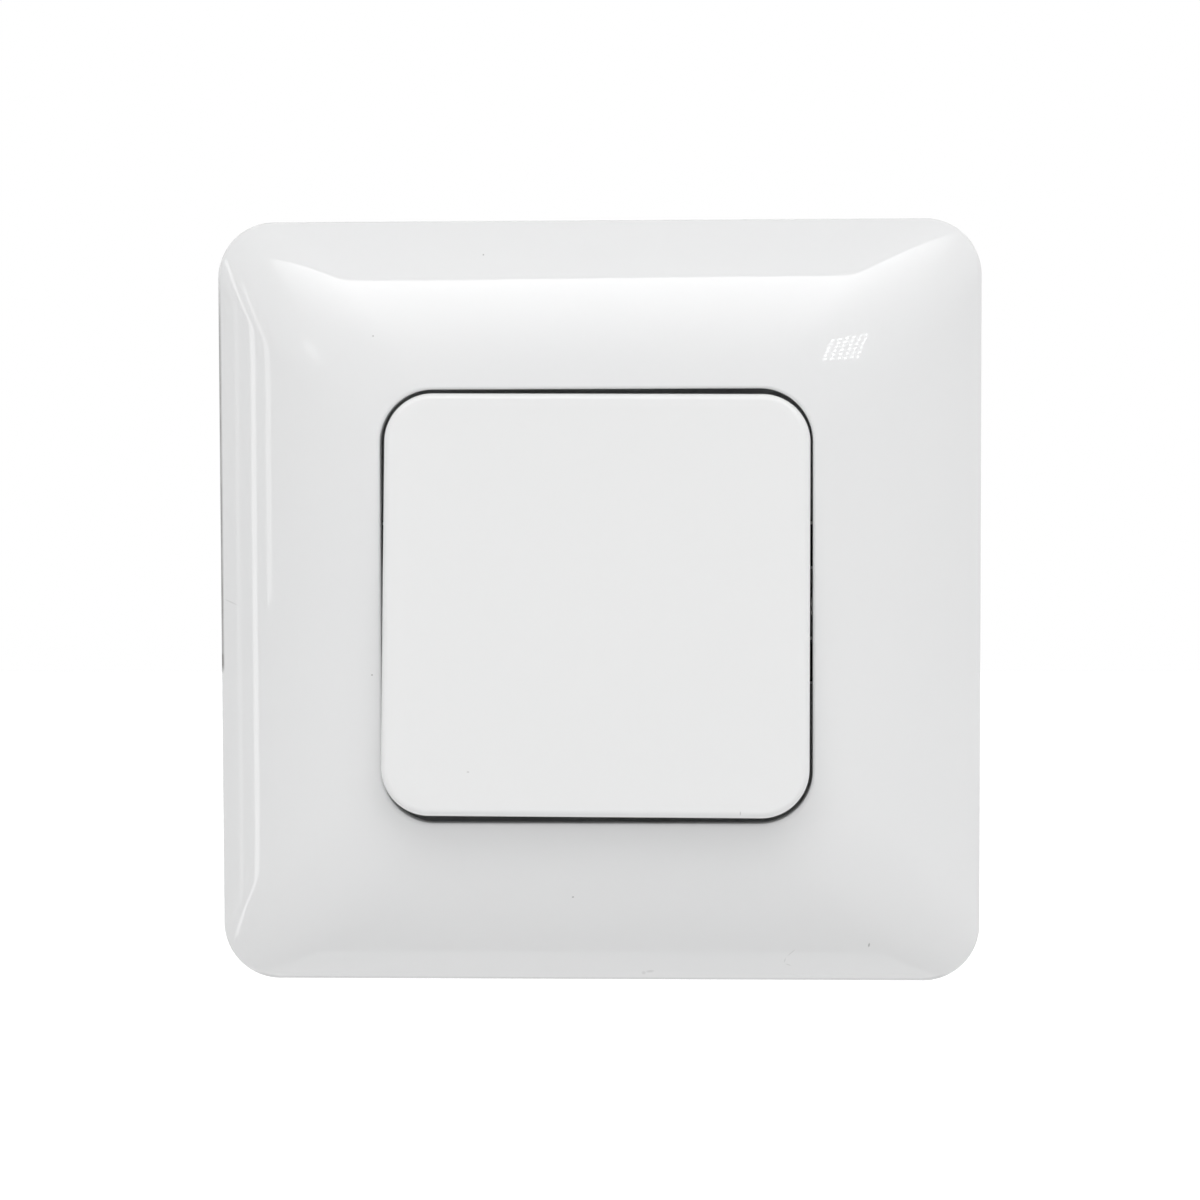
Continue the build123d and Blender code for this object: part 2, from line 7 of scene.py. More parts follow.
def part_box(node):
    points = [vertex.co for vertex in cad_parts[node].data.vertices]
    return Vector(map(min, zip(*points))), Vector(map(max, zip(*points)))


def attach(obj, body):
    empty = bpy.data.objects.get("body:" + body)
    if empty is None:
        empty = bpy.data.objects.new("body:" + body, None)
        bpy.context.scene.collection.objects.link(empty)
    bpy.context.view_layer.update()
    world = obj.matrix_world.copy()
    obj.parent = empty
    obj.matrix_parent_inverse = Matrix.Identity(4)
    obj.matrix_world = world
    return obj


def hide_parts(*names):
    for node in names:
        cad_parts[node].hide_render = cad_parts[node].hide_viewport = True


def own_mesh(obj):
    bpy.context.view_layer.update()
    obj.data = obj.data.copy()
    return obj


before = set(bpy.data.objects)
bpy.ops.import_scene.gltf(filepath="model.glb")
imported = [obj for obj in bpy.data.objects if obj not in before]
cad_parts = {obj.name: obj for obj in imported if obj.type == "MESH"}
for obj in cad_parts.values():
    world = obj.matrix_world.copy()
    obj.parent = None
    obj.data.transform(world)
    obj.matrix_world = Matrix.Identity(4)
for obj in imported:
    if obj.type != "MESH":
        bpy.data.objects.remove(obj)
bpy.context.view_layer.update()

# Switch housing: the deep moulding that goes into the wall box and carries terminals and contacts.
# Light grey thermoset with a finely eroded mould surface; it hangs on the cover's four snap legs.
MM = 0.001


class Shade:
    """One socket of a shader tree: expressions on values add Math nodes, add() makes any other node."""

    def __init__(self, tree, socket):
        self.tree = tree
        self.socket = socket

    def add(self, kind, settings, sockets, output=0):
        node = self.tree.nodes.new(kind)
        for name, value in settings.items():
            setattr(node, name, value)
        for key, value in sockets.items():
            if isinstance(value, Shade):
                self.tree.links.new(value.socket, node.inputs[key])
            else:
                node.inputs[key].default_value = value
        return Shade(self.tree, node.outputs[output])

    def math(self, operation, first, second):
        return self.add("ShaderNodeMath", {"operation": operation}, {0: first, 1: second})

    def __add__(self, other):
        return self.math("ADD", self, other)

    def __radd__(self, other):
        return self.math("ADD", other, self)

    def __sub__(self, other):
        return self.math("SUBTRACT", self, other)

    def __rsub__(self, other):
        return self.math("SUBTRACT", other, self)

    def __mul__(self, other):
        return self.math("MULTIPLY", self, other)

    def __rmul__(self, other):
        return self.math("MULTIPLY", other, self)

    def between(self, low, high):
        return self.add("ShaderNodeMix", {"data_type": "RGBA"}, {0: self, 6: low, 7: high}, 2)

    def into(self, node, socket):
        self.tree.links.new(self.socket, node.inputs[socket])


def new_finish(name, **constants):
    """A material, its surface shader with the constants set, and the piece's own place in millimetres."""
    material = bpy.data.materials.new(name)
    material.use_nodes = True
    surface = material.node_tree.nodes["Principled BSDF"]
    for socket, value in constants.items():
        surface.inputs[socket].default_value = value
    start = Shade(material.node_tree, None)
    place = start.add("ShaderNodeTexCoord", {}, {}, "Object")
    place = place.add("ShaderNodeVectorMath", {"operation": "SCALE"}, {0: place, "Scale": 1 / MM})
    return material, surface, place


def noise(place, scale, detail=2.0):
    """Cloudy noise from 0 to 1, with its scale in features per millimetre."""
    return place.add("ShaderNodeTexNoise", {}, {"Vector": place, "Scale": scale, "Detail": detail}, "Fac")


def relief(height, surface, depth):
    """Bump of a height from 0 to 1, with its depth in millimetres, on a surface shader."""
    sockets = {"Height": height, "Strength": 1.0, "Distance": depth * MM}
    height.add("ShaderNodeBump", {}, sockets, "Normal").into(surface, "Normal")


def paint(material, *nodes):
    """Gives solids of the frame their finish."""
    for node in nodes:
        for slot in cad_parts[node].material_slots:
            slot.material = material


housing_finish, surface, place = new_finish("housing_grey_thermoset", IOR=1.5)
cloud = noise(place, 0.12, 4)
grain = noise(place, 6.0)
cloud.between((0.42, 0.43, 0.42, 1), (0.5, 0.51, 0.5, 1)).into(surface, "Base Color")
(0.42 + 0.16 * grain).into(surface, "Roughness")
relief(grain, surface, 0.02)
paint(housing_finish, "switch_housing")

# Terminal blocks, contact strips, common terminal and contact lever: bare brass, sawn or stamped.
# The blocks lie in the housing's pockets, the strips flat on its floor, and the lever rocks in two notches.
brass_finish, surface, place = new_finish("stamped_brass", Metallic=1.0)
tarnish = noise(place, 0.35, 5)
rolling = noise(place, 9.0)
tarnish.between((0.55, 0.36, 0.13, 1), (0.8, 0.6, 0.28, 1)).into(surface, "Base Color")
(0.2 + 0.25 * tarnish).into(surface, "Roughness")
relief(rolling, surface, 0.004)
paint(brass_finish, "terminal_block_common", "terminal_block_upper", "terminal_block_lower")
paint(brass_finish, "common_terminal", "upper_contact_strip", "lower_contact_strip", "contact_lever")

# Contact buttons and pads: silver alloy, riveted to the lever and welded to the strips.
# They are pale, with a dull film where they have switched.
silver_finish, surface, place = new_finish("contact_silver", Metallic=1.0)
film = noise(place, 1.4, 4)
film.between((0.5, 0.49, 0.46, 1), (0.86, 0.86, 0.84, 1)).into(surface, "Base Color")
(0.5 - 0.25 * film).into(surface, "Roughness")
paint(silver_finish, "lever_contacts", "fixed_contacts")

# Terminal screws: three slotted cheese-head clamp screws of zinc-plated steel with a rolled thread.
# Each one stands backed out in its block, behind a square window in the housing's wall.


def new_piece(name, mesh_builder, material, body, slot, *nodes):
    """Turns built geometry into a piece in metres that rides on a body and replaces solids of the frame."""
    bmesh.ops.recalc_face_normals(mesh_builder, faces=mesh_builder.faces)
    mesh = bpy.data.meshes.new(name)
    mesh_builder.to_mesh(mesh)
    mesh_builder.free()
    mesh.transform(Matrix.Scale(MM, 4))
    mesh.shade_smooth()
    mesh.set_sharp_from_angle(angle=math.radians(30))
    mesh.materials.append(material)
    piece = bpy.data.objects.new(name, mesh)
    bpy.context.scene.collection.objects.link(piece)
    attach(piece, body)
    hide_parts(*nodes)
    return piece


def skin(builder, rings, looped=False):
    """Faces between rings of points, one after the other; the ends are closed, or joined if looped."""
    rows = [[builder.verts.new(point) for point in ring] for ring in rings]
    pairs = list(zip(rows, rows[1:] + rows[:1])) if looped else list(zip(rows, rows[1:]))
    for low, high in pairs:
        for index in range(len(low)):
            after = (index + 1) % len(low)
            builder.faces.new((low[index], low[after], high[after], high[index]))
    if not looped:
        builder.faces.new(rows[0])
        builder.faces.new(rows[-1])


def threaded_screw(builder, seat, out, slot_angle, head, head_height, shank, length, pitch):
    """Slotted screw with its head's underside at the seat and its head towards out, in millimetres."""
    stand = Matrix.Translation(seat) @ out.to_track_quat("Z", "Y").to_matrix().to_4x4()
    steps = 32
    cheek_steps = 16
    rings_a_turn = 6
    thread_depth = 0.3 * pitch

    def at(radius, angle, height):
        return stand @ Vector((radius * math.cos(angle), radius * math.sin(angle), height))

    rings = []
    for level in range(int(length / pitch * rings_a_turn) + 1):
        depth = level * pitch / rings_a_turn
        ring = []
        for step in range(steps):
            phase = (depth / pitch + step / steps) % 1
            crest = abs(2 * phase - 1)
            fade = min(1, (length - depth) / pitch)
            radius = shank - thread_depth * (1 - crest * fade)
            ring.append(at(radius, 2 * math.pi * step / steps, -depth))
        rings.append(ring)
    skin(builder, rings)
    slot_floor = 0.5 * head_height
    slot_half = 0.16 * head
    bevel = 0.1 * head
    base = ((0, head - bevel), (bevel, head), (slot_floor, head))
    angles = [2 * math.pi * step / steps for step in range(steps)]
    skin(builder, [[at(radius, angle, height) for angle in angles] for height, radius in base])
    for side in (0, math.pi):
        rings = []
        for height, radius in ((slot_floor, head), (head_height - bevel, head), (head_height, head - bevel)):
            reach = math.asin(slot_half / radius)
            arc = [reach + (math.pi - 2 * reach) * step / cheek_steps for step in range(cheek_steps + 1)]
            rings.append([at(radius, angle + side + slot_angle, height) for angle in arc])
        skin(builder, rings)


zinc_finish, surface, place = new_finish("zinc_plated_steel", Metallic=1.0)
passivation = noise(place, 0.25, 4)
plating = noise(place, 5.0)
passivation.between((0.5, 0.52, 0.55, 1), (0.66, 0.65, 0.6, 1)).into(surface, "Base Color")
(0.26 + 0.2 * plating).into(surface, "Roughness")
relief(plating, surface, 0.006)

clamp_head = 2.6
clamp_head_height = 1.7
clamp_shank = 1.7
clamp_length = 2.3
clamp_pitch = 0.7
clamp_slot = math.radians(25)
clamp_seat = 16.5
clamp_depth = 12.5
clamp_place = 12.5
clamp_form = (clamp_slot, clamp_head, clamp_head_height, clamp_shank, clamp_length, clamp_pitch)
builder = bmesh.new()
for side, level in ((-1, 1), (-1, -1), (1, 1)):
    seat = Vector((side * clamp_place, clamp_depth, level * clamp_seat))
    threaded_screw(builder, seat, Vector((0, 0, level)), *clamp_form)
new_piece("terminal_screws_threaded", builder, zinc_finish, "base", "zinc_steel", "terminal_screws")

# Plunger and its spring: a pale acetal pin in the carrier's stem, pushed out by a coil of spring steel.
# The pin works the contact lever and throws it over; the real coil shortens as the pin goes in, but this one
# is built at one length.
acetal_finish, surface, place = new_finish("plunger_acetal", IOR=1.48)
flow = noise(place, 0.5, 3)
flow.between((0.66, 0.64, 0.58, 1), (0.74, 0.72, 0.66, 1)).into(surface, "Base Color")
(0.3 + 0.1 * flow).into(surface, "Roughness")
paint(acetal_finish, "plunger")

spring_finish, surface, place = new_finish("spring_steel_wire", Metallic=1.0)
drawing = noise(place, 2.5, 3)
drawing.between((0.3, 0.3, 0.31, 1), (0.46, 0.46, 0.47, 1)).into(surface, "Base Color")
(0.25 + 0.15 * drawing).into(surface, "Roughness")

rocker_tilt = math.radians(5.5)
pivot_height = 8.9
stem_pivot = Vector((0, -pivot_height, 0))
stem_out = Vector((0, -math.cos(rocker_tilt), math.sin(rocker_tilt)))
stem_side = Vector((0, math.sin(rocker_tilt), math.cos(rocker_tilt)))
spring_start = -12.17
spring_end = -4.63
spring_radius = 1.15
spring_wire = 0.36
spring_turns = 4
turn_steps = 28
wire_steps = 10
builder = bmesh.new()
rings = []
for step in range(spring_turns * turn_steps + 1):
    angle = 2 * math.pi * step / turn_steps
    level = spring_start + (spring_end - spring_start) * step / (spring_turns * turn_steps)
    outward = math.cos(angle) * Vector((1, 0, 0)) + math.sin(angle) * stem_side
    middle = stem_pivot + level * stem_out + spring_radius * outward
    ring = []
    for corner in range(wire_steps):
        around = 2 * math.pi * corner / wire_steps
        ring.append(middle + spring_wire / 2 * (math.cos(around) * outward + math.sin(around) * stem_out))
    rings.append(ring)
skin(builder, rings)
spring = new_piece("plunger_coil", builder, spring_finish, "rocker_body", "spring_steel", "plunger_spring")
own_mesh(spring)

# Mechanism cover and rocker carrier: dark grey glass-filled nylon, moulded, with a dry fibrous surface.
# The cover snaps into the housing through the plate; the carrier's trunnions snap into the cover's ears.
nylon_finish, surface, place = new_finish("dark_nylon", IOR=1.53)
fibres = noise(place, 1.6, 5)
fibres.between((0.012, 0.012, 0.013, 1), (0.028, 0.028, 0.03, 1)).into(surface, "Base Color")
(0.45 + 0.2 * fibres).into(surface, "Roughness")
relief(fibres, surface, 0.02)
paint(nylon_finish, "mechanism_cover", "rocker_carrier")

# Support plate and claws: stamped sheet steel, zinc plated, with the grain of the rolled sheet.
# The plate is held between cover and housing; the claws hang in the housing's lugs and spread in the box.
sheet_finish, surface, place = new_finish("dull_zinc_sheet", Metallic=1.0)
stretched = place.add("ShaderNodeVectorMath", {"operation": "MULTIPLY"}, {0: place, 1: (0.2, 1.0, 4.0)})
grain = noise(stretched, 1.2, 4)
bloom = noise(place, 0.15, 4)
# The sheet's zinc is set darker than the screws' zinc: painted shade for the gap round the rocker, where the
# plate shows through. Its dullness is real roughness.
bloom.between((0.3, 0.31, 0.32, 1), (0.44, 0.44, 0.43, 1)).into(surface, "Base Color")
(0.6 + 0.2 * grain).into(surface, "Roughness")
relief(grain, surface, 0.006)
paint(sheet_finish, "support_plate", "claw_left", "claw_right")

# Claw screws: two slotted screws of zinc-plated steel, through the plate and the claws' lugs.
# Turning them pulls the lugs forward and spreads the claws.
claw_screw_x = 25.0
claw_head = 2.75
claw_head_height = 1.8
claw_shank = 1.5
claw_length = 15.0
claw_pitch = 0.6
claw_slot = math.radians(30)
plate_front = 1.0
claw_form = (claw_slot, claw_head, claw_head_height, claw_shank, claw_length, claw_pitch)
builder = bmesh.new()
for side in (-1, 1):
    seat = Vector((side * claw_screw_x, -plate_front, 0))
    threaded_screw(builder, seat, Vector((0, -1, 0)), *claw_form)
new_piece("claw_screws_threaded", builder, zinc_finish, "base", "zinc_steel", "claw_screws")

# Cover frame: a pillow-shaped shell moulded in glossy white plastic, with a square window for the rocker.
# It snaps over the cover's catches with four hooks and rests on the wall with its rim.
frame_low, frame_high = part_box("cover_frame")
frame_half = (frame_high.x - frame_low.x) / 2 / MM
window_half = 22.5
window_narrower = 0.09
window_taller = 0.06
window_right = 0.04
window_down = 0.08
rim_height = 1.6
rim_round = 0.5
window_round = 0.3
shell_wall = 2.0
outer_corner = 6.0
window_corner = 5.5
hollow_corner = 5.8
corner_swell = 1.8
round_power = 2.0
eased_power = 2.2
rim_steps = 6
pillow_steps = 56
window_steps = 8
hollow_steps = 14
outer_slope = math.radians(45)
window_slope = math.radians(5)
pillow_radius = (frame_half - window_half) / (math.sin(outer_slope) - math.sin(window_slope))


def rounded_square(half_x, half_z, corner, power):
    """Points round a rectangle with round corners; a power over 2 eases the corners into the sides."""
    arc_steps = 28
    side_steps = 16
    arcs = []
    for quarter, (sign_x, sign_z) in enumerate(((1, 1), (-1, 1), (-1, -1), (1, -1))):
        middle = Vector((sign_x * (half_x - corner), sign_z * (half_z - corner)))
        arc = []
        for step in range(arc_steps + 1):
            angle = math.pi / 2 * (quarter + step / arc_steps)
            reach = (math.cos(angle), math.sin(angle))
            eased = [math.copysign(abs(part) ** (2 / power), part) for part in reach]
            arc.append(middle + corner * Vector(eased))
        arcs.append(arc)
    points = []
    for arc, after in zip(arcs, arcs[1:] + arcs[:1]):
        points.extend(arc)
        points.extend(arc[-1].lerp(after[0], step / side_steps) for step in range(1, side_steps))
    return points


def pillow_at(slope, inset=0.0):
    """Half width and height of the pillow where it has this slope, moved inwards by the inset."""
    half = frame_half - pillow_radius * (math.sin(outer_slope) - math.sin(slope)) - inset * math.sin(slope)
    rise = pillow_radius * (math.cos(slope) - math.cos(outer_slope))
    return half, rim_height + rise - inset * math.cos(slope)


def swept(first, last, steps):
    """Evenly spaced values from the first to the last."""
    return [first + (last - first) * step / steps for step in range(steps + 1)]


rim_reach = rim_round * math.tan(outer_slope / 2)
window_reach = window_round * math.tan((math.pi / 2 + window_slope) / 2)
edge_height = pillow_at(window_slope)[1]
pillow_start = outer_slope - rim_reach / pillow_radius
pillow_end = window_slope + window_reach / pillow_radius
section = [(frame_half, 0.0, outer_corner, round_power)]
for slope in swept(math.pi / 2, outer_slope, rim_steps):
    half = frame_half - rim_round + rim_round * math.sin(slope)
    height = rim_height - rim_reach + rim_round * math.cos(slope)
    section.append((half, height, outer_corner, round_power))
for slope in swept(pillow_start, pillow_end, pillow_steps)[1:-1]:
    half, height = pillow_at(slope)
    share = (outer_slope - slope) / (outer_slope - window_slope)
    bulge = 4 * share * (1 - share)
    corner = outer_corner + (window_corner - outer_corner) * share + corner_swell * bulge
    section.append((half, height, corner, round_power + (eased_power - round_power) * bulge))
for slope in swept(window_slope, -math.pi / 2, window_steps):
    half = window_half + window_round + window_round * math.sin(slope)
    height = edge_height - window_reach + window_round * math.cos(slope)
    section.append((half, height, window_corner, round_power))
section.append((window_half, pillow_at(window_slope, shell_wall)[1], window_corner, round_power))
for slope in swept(window_slope, outer_slope, hollow_steps)[1:]:
    half, height = pillow_at(slope, shell_wall)
    section.append((half, height, hollow_corner, round_power))
section.append((section[-1][0], 0.0, hollow_corner, round_power))
builder = bmesh.new()
rings = []
for half, height, corner, power in section:
    share = (frame_half - half) / (frame_half - window_half)
    outline = rounded_square(half - window_narrower * share, half + window_taller * share, corner, power)
    beside = window_right * share
    below = window_down * share
    rings.append([Vector((point.x + beside, -height, point.y - below)) for point in outline])
skin(builder, rings, looped=True)

hook_inner = 23.2
hook_outer = 24.6
hook_barb = 22.2
hook_foot = 1.4
hook_root = 8.8
hook_lead = 0.2
barb_edge = hook_foot + 0.9
barb_top = hook_foot + 1.3
hook_half_width = 2.5
hook_centre = 6.1
hook_outline = (
    (hook_inner, barb_top),
    (hook_barb, barb_top),
    (hook_barb, barb_edge),
    (hook_inner + hook_lead, hook_foot),
    (hook_outer, hook_foot),
    (hook_outer, hook_root),
    (hook_inner, hook_root),
)
for side in (-1, 1):
    for level in (-1, 1):
        ends = (level * hook_centre - hook_half_width, level * hook_centre + hook_half_width)
        skin(builder, [[Vector((side * x, -height, end)) for x, height in hook_outline] for end in ends])


def ramp(value, start, end, **settings):
    """0 where the value is at the start or before it, 1 at the end and beyond."""
    return value.add("ShaderNodeMapRange", settings, {0: value, 1: start, 2: end})


def coordinate(vector, axis):
    """One coordinate of a vector."""
    return vector.add("ShaderNodeSeparateXYZ", {}, {0: vector}, axis)


def mark(place, x, z, half_length, half_width, angle):
    """1 within a small oval mark seen from the front, 0 round it, its length at an angle to the level."""
    turn = (0, -math.radians(angle), 0)
    sockets = {"Location": (x, 0, z), "Rotation": turn, "Scale": (half_length, 100, half_width)}
    local = place.add("ShaderNodeMapping", {"vector_type": "TEXTURE"}, {"Vector": place, **sockets})
    reach = place.add("ShaderNodeVectorMath", {"operation": "LENGTH"}, {0: local}, "Value")
    return ramp(reach, 1.0, 0.3, interpolation_type="SMOOTHSTEP")


def within_marks(place, strongest, marks):
    """The share over a set of oval marks, the strongest at the given share, for dirt, scuffs and a painted
    shade tick.
    """
    dirt_and_shade = mark(place, *marks[0]) * strongest
    for oval in marks[1:]:
        dirt_and_shade = place.math("MAXIMUM", dirt_and_shade, mark(place, *oval) * strongest)
    return dirt_and_shade


# The dark colour of the dirt specks and hairs, and of the painted shade along the frame's rim.
dirt_and_shade_colour = (0.1, 0.095, 0.09, 1)
specks = (
    (-23.34, -7.13, 0.14, 0.12, 0),
    (-23.1, 28.08, 0.12, 0.12, 0),
    (-2.56, -30.61, 0.16, 0.12, 20),
    (-11.9, 36.7, 0.12, 0.12, 0),
    (28.55, -36.05, 0.34, 0.13, 82),
)
hairs = (
    (20.4, -37.0, 0.75, 0.09, 45),
    (19.72, -37.95, 0.42, 0.09, 75),
    (20.1, -38.5, 0.42, 0.09, -22),
    (-39.2, 0.12, 1.1, 0.1, -19),
    (5.38, -39.4, 0.6, 0.22, 8),
    (4.7, -39.6, 0.3, 0.3, 0),
)
scuffs = (
    (-12.5, 35.9, 1.0, 0.3, 40),
    (18.1, -37.4, 0.5, 0.5, 0),
    (-37.6, -0.4, 0.9, 0.3, -10),
)
rim_tick = (-40.5, -6.2, 1.6, 1.0, 90)
speck_share = 0.5
hair_share = 0.16
# Strengths of the painted shade line along the left and the bottom rim, and of its darker tick on the left
# rim.
left_shade_share = 0.62
low_shade_share = 0.2
tick_share = 0.85
frame_finish, surface, place = new_finish("glossy_white_frame", IOR=1.5)
white = noise(place, 0.05, 3).between((0.785, 0.79, 0.795, 1), (0.803, 0.805, 0.805, 1))
dirt_and_shade = place.math("MAXIMUM", within_marks(place, speck_share, specks), within_marks(place, hair_share, hairs))
height = -1 * coordinate(place, "Y")
across = coordinate(place, "X")
upward = coordinate(place, "Z")
# Painted shade: a thin dark line on the rim's edge, along the left side above the tick and along the bottom,
# with a darker tick on the left rim. The specks and hairs are real dirt.
rim_edge = ramp(height, 1.98, 1.78) * ramp(height, 1.4, 1.6)
left_rim = ramp(across, -39.6, -40.0) * ramp(upward, -7.4, -7.0) * ramp(upward, 35.0, 29.0)
low_rim = ramp(upward, -39.6, -40.0)
edge_shade = left_shade_share * left_rim + low_shade_share * low_rim
painted_rim_shade = rim_edge * edge_shade * (0.6 + 0.8 * noise(place, 0.3, 2))
shade_tick = within_marks(place, tick_share, (rim_tick,)) * rim_edge
dirt_and_shade = place.math("MAXIMUM", dirt_and_shade, place.math("MAXIMUM", painted_rim_shade, shade_tick))
dirt_and_shade.between(white, dirt_and_shade_colour).into(surface, "Base Color")
(0.02 + 0.025 * noise(place, 0.4, 3) + 0.2 * within_marks(place, 1.0, scuffs)).into(surface, "Roughness")
relief(noise(place, 0.06, 1), surface, 0.02)
new_piece("cover_frame_shell", builder, frame_finish, "base", "frame_plastic", "cover_frame")

# Rocker: a square cap with round corners, moulded in the same white plastic, flat on its face.
# Four clip legs hold it on the carrier, which tilts it about a level line behind its middle.
# It sits a little askew in the window.
face_height = 3.4
rocker_half_x = 22.05
rocker_half_z = 21.85
rocker_skew = math.radians(0.33)
rocker_shift = 0.05
rocker_corner = 5.0
rocker_depth = 6.0
rocker_wall = 1.6
rocker_round = 0.75
round_steps = 10
face_border = 0.15
ceiling_border = 0.4


def on_rocker(across, along, height):
    """A point on the tilted rocker: across it, along it upwards, and out from its pivot."""
    turned = along * math.cos(rocker_skew) - across * math.sin(rocker_skew)
    beside = across * math.cos(rocker_skew) + along * math.sin(rocker_skew) + rocker_shift
    out = height * math.cos(rocker_tilt) - turned * math.sin(rocker_tilt)
    up = height * math.sin(rocker_tilt) + turned * math.cos(rocker_tilt)
    return Vector((beside, -pivot_height - out, up))


ceiling = face_height - rocker_wall
section = [(rocker_wall + ceiling_border, ceiling), (rocker_wall, ceiling)]
section.append((rocker_wall, face_height - rocker_depth))
section.append((0.0, face_height - rocker_depth))
for angle in swept(math.pi / 2, 0.0, round_steps):
    inset = rocker_round * (1 - math.sin(angle))
    section.append((inset, face_height - rocker_round * (1 - math.cos(angle))))
section.append((rocker_round + face_border, face_height))
builder = bmesh.new()
rings = []
for inset, height in section:
    halves = (rocker_half_x - inset, rocker_half_z - inset)
    outline = rounded_square(*halves, rocker_corner - inset, round_power)
    rings.append([on_rocker(point.x, point.y, height) for point in outline])
skin(builder, rings)

rib_place = 13.0
rib_half = 0.5
rib_foot = ceiling - 1.4
for level in (-1, 1):
    low = level * rib_place - rib_half
    high = level * rib_place + rib_half
    corners = ((low, ceiling), (high, ceiling), (high, rib_foot), (low, rib_foot))
    ends = (rocker_wall - rocker_half_x, rocker_half_x - rocker_wall)
    skin(builder, [[on_rocker(end, along, height) for along, height in corners] for end in ends])

clip_inner = 6.1
clip_outer = 7.3
clip_barb = clip_inner - 0.8
clip_lead = 0.2
clip_place = 8.0
clip_half_width = 2.5
clip_catch = -2.3
clip_edge = -2.7
clip_foot = -3.6
clip_outline = (
    (clip_inner, ceiling),
    (clip_outer, ceiling),
    (clip_outer, clip_foot),
    (clip_inner + clip_lead, clip_foot),
    (clip_barb, clip_edge),
    (clip_barb, clip_catch),
    (clip_inner, clip_catch),
)
for side in (-1, 1):
    for level in (-1, 1):
        ends = (side * clip_place - clip_half_width, side * clip_place + clip_half_width)
        outline = [(level * along, height) for along, height in clip_outline]
        skin(builder, [[on_rocker(end, along, height) for along, height in outline] for end in ends])

rocker_specks = (
    (-13.03, -16.82, 0.2, 0.1, 0),
    (14.9, -21.0, 0.09, 0.3, 0),
)
rocker_scuffs = (
    (-18.6, 17.1, 1.6, 0.7, 30),
    (-8.6, 8.8, 1.1, 0.6, -20),
    (14.8, -20.2, 0.9, 0.5, 15),
)
rocker_speck_share = 0.3
rocker_finish, surface, place = new_finish("glossy_white_rocker", IOR=1.5)
# The rocker's white is set a little lighter than the frame's white: painted light on the rocker's face.
white = noise(place, 0.05, 3).between((0.808, 0.812, 0.812, 1), (0.82, 0.822, 0.822, 1))
dirt_and_shade = within_marks(place, rocker_speck_share, rocker_specks)
dirt_and_shade.between(white, dirt_and_shade_colour).into(surface, "Base Color")
(0.05 + 0.04 * noise(place, 0.4, 3) + 0.2 * within_marks(place, 1.0, rocker_scuffs)).into(surface, "Roughness")
relief(noise(place, 0.06, 1), surface, 0.02)
new_piece("rocker_cap", builder, rocker_finish, "rocker_body", "rocker_plastic", "rocker")

# Studio: a pale floor well below the switch and a white surround, as for a cut-out product picture.
# What the camera and the gloss see of them is white; the rest of the light is a little weaker.
floor_drop = 0.9
floor_half = 12.0
floor_glow = 0.6
builder = bmesh.new()
bmesh.ops.create_grid(builder, x_segments=8, y_segments=8, size=floor_half)
mesh = bpy.data.meshes.new("studio_floor")
builder.to_mesh(mesh)
builder.free()
floor = bpy.data.objects.new("studio_floor", mesh)
floor.location = (0, 0, -floor_drop)
bpy.context.scene.collection.objects.link(floor)


def grey(level):
    """A neutral colour."""
    return (level, level, level, 1)


def seen_directly(start):
    """1 for rays of the camera and for reflections and refractions, 0 for diffuse light."""
    camera = start.add("ShaderNodeLightPath", {}, {}, "Is Camera Ray")
    glossy = start.add("ShaderNodeLightPath", {}, {}, "Is Glossy Ray")
    clear = start.add("ShaderNodeLightPath", {}, {}, "Is Transmission Ray")
    return start.math("MAXIMUM", start.math("MAXIMUM", camera, glossy), clear)


floor_finish, surface, place = new_finish("pale_floor", Roughness=0.9)
noise(place, 0.002, 2).between(grey(0.78), grey(0.8)).into(surface, "Base Color")
surface.inputs["Emission Strength"].default_value = floor_glow
seen_directly(place).between(grey(0), grey(1)).into(surface, "Emission Color")
floor.data.materials.append(floor_finish)

surround_level = 0.92
surround_right = 0.18
surround_front = 0.38
surround_below = 0.73
backdrop_level = 2.0
backdrop_tilt = 0.55
world = bpy.data.worlds.new("white_surround")
world.use_nodes = True
bpy.context.scene.world = world
background = world.node_tree.nodes["Background"]
background.inputs["Color"].default_value = grey(1)
start = Shade(world.node_tree, None)
toward = start.add("ShaderNodeTexCoord", {}, {}, "Generated")
toward_wall = coordinate(toward, "Y")
toward_top = coordinate(toward, "Z")
backdrop = start.math("MAXIMUM", toward_wall - backdrop_tilt * toward_top, 0.0)
ambient = surround_level + surround_right * coordinate(toward, "X") - surround_front * toward_wall
ambient = ambient - surround_below * toward_top + backdrop_level * backdrop
direct = seen_directly(start)
(direct + (1 - direct) * ambient).into(background, "Strength")
bpy.context.scene.view_settings.view_transform = "Standard"

# Lamps: a wide soft box above, thin strips and a small lamp at the left, and a panel of light diodes.
# They stand where their reflections on the frame say; a weak panel behind lights the edges from below.


def direction(azimuth, elevation):
    """The way out to a place at these angles in degrees, to the right of the front and up."""
    a = math.radians(azimuth)
    e = math.radians(elevation)
    return Vector((math.sin(a) * math.cos(e), -math.cos(a) * math.cos(e), math.sin(e)))


def soft_lamp(name, azimuth, elevation, distance, width, height, radiance):
    """A flat lamp aimed at the switch, placed by angles in degrees from the front."""
    out = direction(azimuth, elevation)
    data = bpy.data.lights.new(name, "AREA")
    data.shape = "RECTANGLE"
    data.size = width
    data.size_y = height
    data.energy = radiance * math.pi * width * height
    lamp = bpy.data.objects.new(name, data)
    lamp.location = out * distance
    lamp.rotation_mode = "QUATERNION"
    lamp.rotation_quaternion = out.to_track_quat("Z", "Y")
    bpy.context.scene.collection.objects.link(lamp)
    return lamp


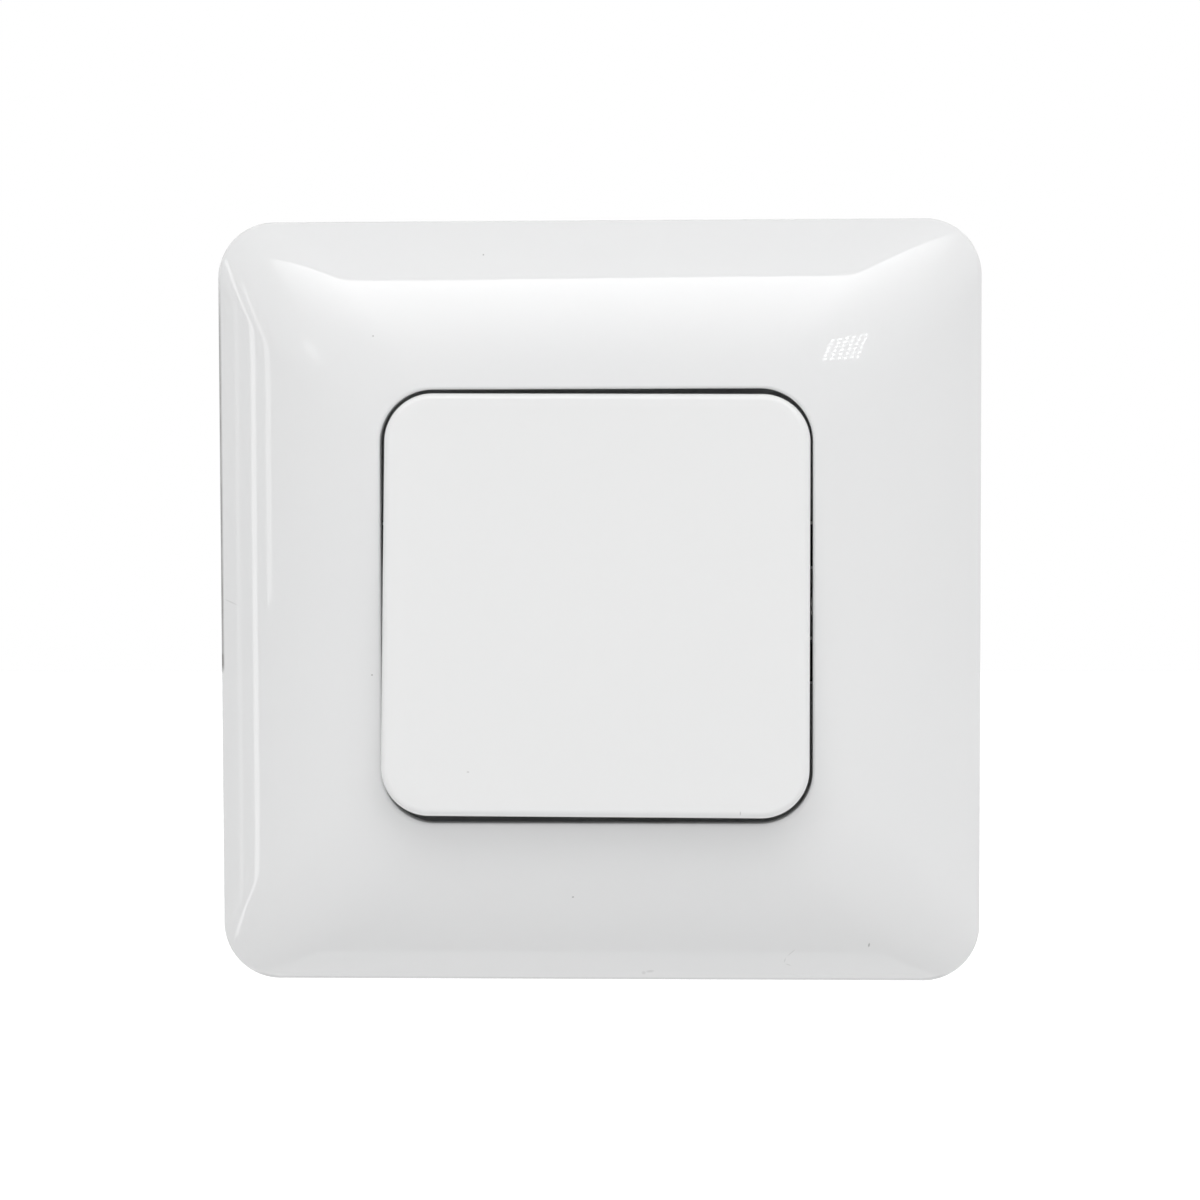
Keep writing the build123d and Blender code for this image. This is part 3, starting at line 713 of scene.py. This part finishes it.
def over_panel(lamp):
    """The place on a lamp's panel, 0 to 1 across and up, for its own shader."""
    lamp.data.use_nodes = True
    return Shade(lamp.data.node_tree, None).add("ShaderNodeNewGeometry", {}, {}, "Parametric")


brightest_across = 0.435
end_fade = 3.4
low_fade = 1.4
key = soft_lamp("key_softbox", 7, 43.3, distance=1.0, width=1.7, height=0.7, radiance=4.0)
panel = over_panel(key)
off_middle = coordinate(panel, "X") - brightest_across
toward_ends = panel.math("MAXIMUM", 1 - end_fade * off_middle * off_middle, 0.0)
fade = panel.math("POWER", coordinate(panel, "Y"), low_fade) * toward_ends
fade.into(key.data.node_tree.nodes["Emission"], "Strength")

soft_lamp("low_panel", 180, -60, distance=0.7, width=1.4, height=1.1, radiance=0.65)
soft_lamp("left_strip_near", -77.3, -2, distance=1.2, width=0.06, height=1.2, radiance=2.2)
soft_lamp("left_strip_far", -69.2, 9, distance=1.2, width=0.06, height=0.5, radiance=1.6)
soft_lamp("left_strip_edge", -87, -4, distance=1.2, width=0.05, height=0.5, radiance=0.7)
soft_lamp("left_small_lamp", -39.5, 16, distance=1.2, width=0.12, height=0.09, radiance=1.4)

diode_rows = 6.0
diode_radius = 0.27
board_glow = 0.06
board_roll = math.radians(-12)
dots = soft_lamp("diode_panel", 20.7, 21.6, distance=1.2, width=0.26, height=0.16, radiance=9.0)
dots.rotation_quaternion = dots.rotation_quaternion @ Quaternion((0, 0, 1), board_roll)
panel = over_panel(dots)
cell = panel.add("ShaderNodeVectorMath", {"operation": "SCALE"}, {0: panel, "Scale": diode_rows})
cell = panel.add("ShaderNodeVectorMath", {"operation": "FRACTION"}, {0: cell})
ends = {0: cell, 1: (0.5, 0.5, 0.0)}
off_diode = panel.add("ShaderNodeVectorMath", {"operation": "DISTANCE"}, ends, "Value")
diode = panel.math("LESS_THAN", off_diode, diode_radius)
(board_glow + (1 - board_glow) * diode).into(dots.data.node_tree.nodes["Emission"], "Strength")

# Camera: a long lens close in front of the switch, a little above it and to its right.
# It leans very slightly, as the picture does.
camera_azimuth = 2.253
camera_elevation = 2.882
camera_roll = math.radians(-0.177)
camera_distance = 0.30109
camera_target = Vector((0, -0.005, 0))
back = direction(camera_azimuth, camera_elevation)
sideways = Vector((0, 0, 1)).cross(back).normalized()
upright = back.cross(sideways)
right = math.cos(camera_roll) * sideways + math.sin(camera_roll) * upright
up = math.cos(camera_roll) * upright - math.sin(camera_roll) * sideways
camera_data = bpy.data.cameras.new("camera")
camera_data.lens = 85.73
camera_data.sensor_width = 36
camera_data.shift_x = 0.00194
camera_data.shift_y = 0.0033
camera = bpy.data.objects.new("camera", camera_data)
camera_turn = Matrix((right, up, back)).transposed().to_4x4()
camera.matrix_world = Matrix.Translation(camera_target + back * camera_distance) @ camera_turn
bpy.context.scene.collection.objects.link(camera)
bpy.context.scene.camera = camera
